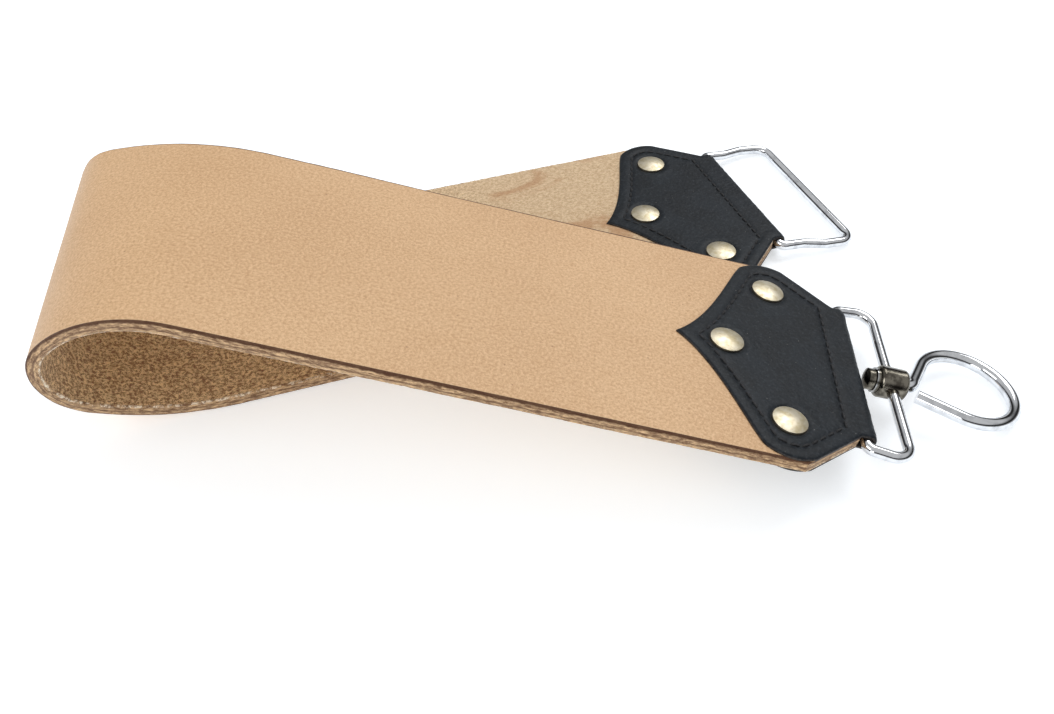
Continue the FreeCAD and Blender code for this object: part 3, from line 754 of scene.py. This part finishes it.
def stitches(side, matrix):
    """Ends of each stitch in the end's axes, read from the CAD stitching, with the side it lies on."""
    inverse = matrix.inverted()
    found = []
    for group in islands(frame["nodes"][side + "_cap_stitching"].data):
        local = np.array([inverse @ Vector(p) for p in group])
        middle = (local.max(axis=0) + local.min(axis=0)) / 2
        plane = local[:, :2] - middle[:2]
        values, axes = np.linalg.eigh(plane.T @ plane)
        axis = axes[:, -1]
        reach = np.abs(plane @ axis).max()
        found.append((middle[:2] - axis * reach, middle[:2] + axis * reach, 1 if middle[2] > 0 else -1))
    return found


def segment_distance(p, a, b):
    """Distance of each point p from the line between a and b."""
    run = b - a
    t = np.clip(((p - a) @ run) / (run @ run), 0, 1)
    return np.linalg.norm(p - a - t[:, None] * run, axis=1)


def cap_pattern():
    """Border of the cap's flat leather, both sides joined by the fold, and its inward directions."""
    start = ROLL_ARC + SLOPE_RUN
    half = [Vector((start + (-p[0] - STRAP_BACK), p[1])) for p in half_outline()]
    fold = [Vector((start * (k / 10), FOLD_HALF)) for k in range(10)]
    quarter = fold + half
    upper = quarter + [Vector((p[0], -p[1])) for p in reversed(quarter[:-1])]
    lower = [Vector((-p[0], p[1])) for p in upper]
    loop = upper + list(reversed(lower[1:-1]))
    # even spacing along the border
    lengths = np.cumsum([0] + [(loop[(k + 1) % len(loop)] - loop[k]).length for k in range(len(loop))])
    total = lengths[-1]
    xs = np.array([p[0] for p in loop + [loop[0]]])
    ys = np.array([p[1] for p in loop + [loop[0]]])
    count = int(total / CAP_BORDER_STEP)
    at = np.linspace(0, total, count, endpoint=False)
    border = np.stack([np.interp(at, lengths, xs), np.interp(at, lengths, ys)], 1)
    # one point exactly on each tip
    for sign in (1, -1):
        near = min(range(count), key=lambda k: abs(border[k, 0] - sign * xs.max()) + abs(border[k, 1]))
        border[near] = (sign * xs.max(), 0.0)
    ahead = np.roll(border, -1, axis=0) - np.roll(border, 1, axis=0)
    ahead /= np.linalg.norm(ahead, axis=1, keepdims=True)
    inward = np.stack([-ahead[:, 1], ahead[:, 0]], 1)
    if ((border - border.mean(axis=0)) * inward).sum() > 0:
        inward = -inward
    return border, inward


def inside(points, loop):
    """Which points lie inside the closed loop."""
    crossings = np.zeros(len(points), int)
    for a, b in zip(loop, np.roll(loop, -1, axis=0)):
        spans = (a[1] > points[:, 1]) != (b[1] > points[:, 1])
        with np.errstate(divide="ignore", invalid="ignore"):
            x = (b[0] - a[0]) * (points[:, 1] - a[1]) / (b[1] - a[1]) + a[0]
        crossings += spans & (points[:, 0] < x)
    return crossings % 2 == 1


def border_distance(points, loop):
    best = np.full(len(points), 1e9)
    for a, b in zip(loop, np.roll(loop, -1, axis=0)):
        best = np.minimum(best, segment_distance(points, a, b))
    return best


def cap_triangles(border, inward):
    """Points, anticlockwise triangles and distances to the border over the cap's flat pattern."""
    layers = [border]
    for inset in CAP_INSETS:
        ring = border + inward * inset
        clear = border_distance(ring, border) > inset * 0.8
        layers.append(ring[inside(ring, border) & clear])
    reach = np.abs(border).max(axis=0)
    rows = int(reach[1] / (CAP_GRID_STEP * CAP_ROW_HEIGHT)) + 1
    grid = []
    for r in range(-rows, rows + 1):
        for c in range(int(-reach[0] / CAP_GRID_STEP) - 1, int(reach[0] / CAP_GRID_STEP) + 2):
            grid.append(((c + 0.5 * (r % 2)) * CAP_GRID_STEP, r * CAP_GRID_STEP * CAP_ROW_HEIGHT))
    grid = np.array(grid)
    grid = grid[inside(grid, border)]
    grid = grid[border_distance(grid, border) > CAP_GRID_CLEAR]
    edges = [(k, (k + 1) % len(border)) for k in range(len(border))]
    places = [Vector(p) for p in np.concatenate(layers + [grid])]
    filled = delaunay_2d_cdt(places, edges, [], 1, 1e-5)
    pattern = np.array([tuple(v) for v in filled[0]])

    def area(face):
        a, b, c = (pattern[k] for k in face)
        return (b[0] - a[0]) * (c[1] - a[1]) - (b[1] - a[1]) * (c[0] - a[0])

    faces = [f for f in filled[2] if len(f) == 3]
    faces = [tuple(f) if area(f) > 0 else tuple(reversed(f)) for f in faces if abs(area(f)) > 1e-9]
    return pattern, faces, border_distance(pattern, border)


def hill(distance, height, place, width):
    """A smooth rise of this height and width round a place on the distance."""
    return height * np.exp(-((distance - place) / width) ** 2)


def cap_relief(pattern, rim, side, matrix, seed):
    """How far each point of the cap's outer face lies off the plain surface, millimetres."""
    start = ROLL_ARC + SLOPE_RUN
    relief = np.zeros(len(pattern))
    # the rounded cut edge and the swell beside it
    soft = np.clip(1 - rim / 0.65, 0, 1)
    relief -= 0.42 * soft ** 2
    relief += hill(rim, 0.10, 2.3, 0.9)
    # the groove that the thread pulls in
    seam = np.full(len(pattern), 1e9)
    for a, b, sign in stitches(side, matrix):
        qa = np.array([sign * (start - a[0] - STRAP_BACK), a[1]])
        qb = np.array([sign * (start - b[0] - STRAP_BACK), b[1]])
        near = np.abs(pattern - (qa + qb) / 2).max(axis=1) < 4
        if near.any():
            seam[near] = np.minimum(seam[near], segment_distance(pattern[near], qa, qb))
    relief -= hill(seam, 0.20, 0, 0.55) + hill(seam, 0.08, 0, 1.3)
    # pressed in under each rivet, swollen round it
    for x, y in RIVETS:
        for sign in (1, -1):
            away = np.hypot(pattern[:, 0] - sign * (start - x - STRAP_BACK), pattern[:, 1] - y)
            relief -= hill(np.clip(away - 4.3, 0, None), 0.48, 0, 0.75)
            relief += hill(away, 0.10, 6.4, 1.2)
    # wrinkles over the roll, then unevenness all over
    wrinkle = np.array([ripple(p[0] * 0.8, p[1] * 2.6, 3.4, seed) for p in pattern])
    relief += 0.09 * wrinkle * hill(np.abs(pattern[:, 0]), 1.0, 0, 6.0)
    relief += 0.05 * np.array([ripple(p[0], p[1], 8.0, seed + 3) for p in pattern])
    relief += 0.02 * np.array([ripple(p[0], p[1], 1.7, seed + 5) for p in pattern])
    return relief


def make_cap(side, matrix, body, seed):
    """One end's folded leather cap: outer face, inner face and the cut edge between them."""
    border, inward = cap_pattern()
    pattern, faces, rim = cap_triangles(border, inward)
    relief = cap_relief(pattern, rim, side, matrix, seed)
    outer, inner, flat_outer, flat_inner = [], [], [], []
    for (q, y), lift in zip(pattern, relief):
        x, z, nx, nz = fold_place(q)
        outer.append(matrix @ Vector((x + nx * lift, y, z + nz * lift)))
        inner.append(matrix @ Vector((x - nx * CAP_THICK, y, z - nz * CAP_THICK)))
        flat_outer.append((q, y, min(0.0, lift)))
        flat_inner.append((q, y, -CAP_THICK))
    count = len(pattern)
    edge = [int(np.argmin(np.hypot(*(pattern - p).T))) for p in border]
    solid = faces + [tuple(count + k for k in reversed(f)) for f in faces]
    solid += [(a, b, count + b, count + a) for a, b in zip(edge, edge[1:] + edge[:1])]
    made = mesh_object(side + "_cap", outer + inner, solid, flat_outer + flat_inner, None, (CAP,))
    fix_normals(made.data)
    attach(made, body)
    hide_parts(side + "_cap_leather")


def fix_normals(data):
    work = bmesh.new()
    work.from_mesh(data)
    bmesh.ops.recalc_face_normals(work, faces=work.faces)
    work.to_mesh(data)
    work.free()


def make_stitches(side, matrix, body):
    """Waxed thread, each stitch a plump bead that dips into its two holes."""
    points, faces = [], []
    around, along = 10, 9
    for a, b, sign in stitches(side, matrix):
        run = b - a
        length = np.linalg.norm(run)
        ahead = run / length
        ahead = ahead + np.array([-ahead[1], ahead[0]]) * STITCH_SLANT
        ahead /= np.linalg.norm(ahead)
        side_way = np.array([-ahead[1], ahead[0]])
        middle = (a + b) / 2
        first = len(points)
        for i in range(along):
            t = 2 * i / (along - 1) - 1
            bulge = sqrt(max(0.0, 1 - t * t * STITCH_TAPER)) if abs(t) < 1 else STITCH_END
            radius = STITCH_RADIUS * bulge
            lift = -STITCH_SINK - STITCH_DIP * t ** 4
            for j in range(around):
                turn = 2 * pi * j / around
                spot = (middle + ahead * (t * (length / 2 + STITCH_OVERRUN))
                        + side_way * (radius * cos(turn)))
                height = HALF_STACK - STITCH_BED + lift + radius * STITCH_SQUASH * sin(turn)
                points.append(matrix @ Vector((spot[0], spot[1], sign * height)))
        for i in range(along - 1):
            for j in range(around):
                k = (j + 1) % around
                p, q = first + i * around, first + (i + 1) * around
                faces.append((p + j, p + k, q + k, q + j))
        faces.append(tuple(first + j for j in reversed(range(around))))
        faces.append(tuple(first + (along - 1) * around + j for j in range(around)))
    made = mesh_object(side + "_thread", points, faces, None, None, (THREAD,))
    fix_normals(made.data)
    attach(made, body)
    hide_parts(side + "_cap_stitching")


for side, matrix, body, seed in (("front", FRONT, "upper_strap", 11.0),
                                 ("rear", REAR, "lower_strap", 47.0)):
    make_cap(side, matrix, body, seed)
    make_stitches(side, matrix, body)


# ---------------------------------------------------------------- metal
def finish_metal():
    for name, node in frame["nodes"].items():
        if "rivet" in name:
            material = NICKEL
        elif name in ("front_frame", "swivel_washer"):
            material = HUB_CHROME
        elif name == "swivel_ring":
            material = RING_CHROME
        elif name == "rear_frame":
            material = CHROME
        else:
            continue
        node.data.materials.clear()
        node.data.materials.append(material)


finish_metal()


# ---------------------------------------------------------------- floor and light
def make_stage():
    g = Graph("floor_white", Roughness=0.9, Specular_IOR_Level=0.1, Emission_Color=(1, 1, 1, 1),
              Emission_Strength=0.5)
    shade = g.noise(g.solid(), 0.004, 2)
    g.out(Base_Color=g.mix(shade, (0.67, 0.71, 0.75, 1), (0.69, 0.73, 0.77, 1)))
    bpy.ops.mesh.primitive_plane_add(size=12.0, location=(0, 0, -0.0002))
    floor = bpy.context.object
    floor.name = "floor"
    floor.data.materials.append(g.material)

    world = bpy.data.worlds.new("world")
    world.use_nodes = True
    bpy.context.scene.world = world
    tree = world.node_tree
    background = tree.nodes["Background"]
    place = tree.nodes.new("ShaderNodeTexCoord")
    parts = tree.nodes.new("ShaderNodeSeparateXYZ")
    tree.links.new(place.outputs["Generated"], parts.inputs[0])
    ramp = tree.nodes.new("ShaderNodeValToRGB")
    tree.links.new(parts.outputs["Z"], ramp.inputs[0])
    stops = ramp.color_ramp.elements
    stops[0].position, stops[0].color = 0.0, (0.9, 0.9, 0.9, 1)
    stops[1].position, stops[1].color = 0.9, (1.0, 1.0, 1.0, 1)
    for position, level in ((0.1, 0.7), (0.17, 0.05), (0.34, 0.04), (0.42, 0.5), (0.52, 1.0)):
        stop = stops.new(position)
        stop.color = (level, level, level * 1.01, 1)
    paths = tree.nodes.new("ShaderNodeLightPath")
    mix = tree.nodes.new("ShaderNodeMix")
    mix.data_type = "RGBA"
    colours = [s for s in mix.inputs if s.type == "RGBA"]
    tree.links.new(paths.outputs["Is Glossy Ray"], mix.inputs[0])
    colours[0].default_value = (1.0, 1.0, 1.0, 1)
    tree.links.new(ramp.outputs[0], colours[1])
    tree.links.new([s for s in mix.outputs if s.type == "RGBA"][0], background.inputs["Color"])
    background.inputs["Strength"].default_value = 0.6

    def area(name, place, aim, wide, high, power):
        light = bpy.data.lights.new(name, "AREA")
        light.shape = "RECTANGLE"
        light.size, light.size_y, light.energy = wide, high, power
        made = bpy.data.objects.new(name, light)
        made.location = place
        made.rotation_euler = (Vector(aim) - Vector(place)).to_track_quat("-Z", "Y").to_euler()
        bpy.context.scene.collection.objects.link(made)

    area("key", (0.55, 0.55, 1.0), (0, 0, 0), 0.7, 0.7, 7.0)
    area("low", (-0.45, -0.95, 0.3), (-0.08, -0.05, 0.02), 0.5, 0.3, 1.6)
    area("fill", (-0.9, -0.4, 0.9), (0, 0, 0), 0.9, 0.5, 4.6)
    scene = bpy.context.scene
    scene.view_settings.view_transform = "Standard"


make_stage()
